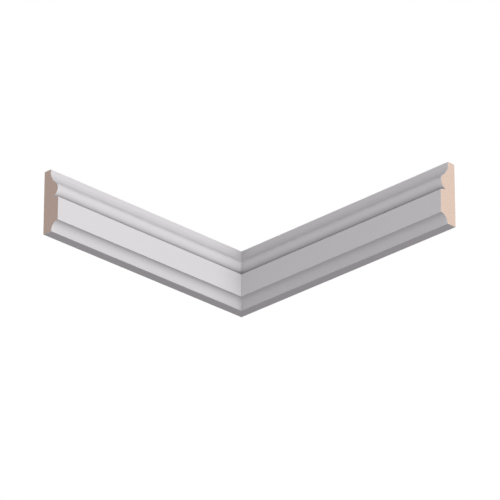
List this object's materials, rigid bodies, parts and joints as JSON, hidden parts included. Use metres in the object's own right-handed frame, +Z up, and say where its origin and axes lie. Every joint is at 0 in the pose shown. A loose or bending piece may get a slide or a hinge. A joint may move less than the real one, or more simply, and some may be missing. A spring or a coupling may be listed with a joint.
{
  "type": "inside corner moulding",
  "caption": "Inside corner of primed dado moulding, mitred, with a coved foot, flat fascia, quirked bead, hollow and top fillet, and square-cut raw ends.",
  "frame": {"origin": "middle of the space the corner takes up, level with its underside", "axes": "+Z up, +X along the right length towards its cut end, +Y into the wall behind the right length, so the left length runs along -Y"},
  "size_m": [0.26, 0.24, 0.06],
  "materials": {
    "primer": "white primer with a soft sheen over fibreboard, raw board on the cut ends and the back"
  },
  "bodies": {
    "root": {"left_length": "primer", "right_length": "primer"}
  },
  "joints": []
}
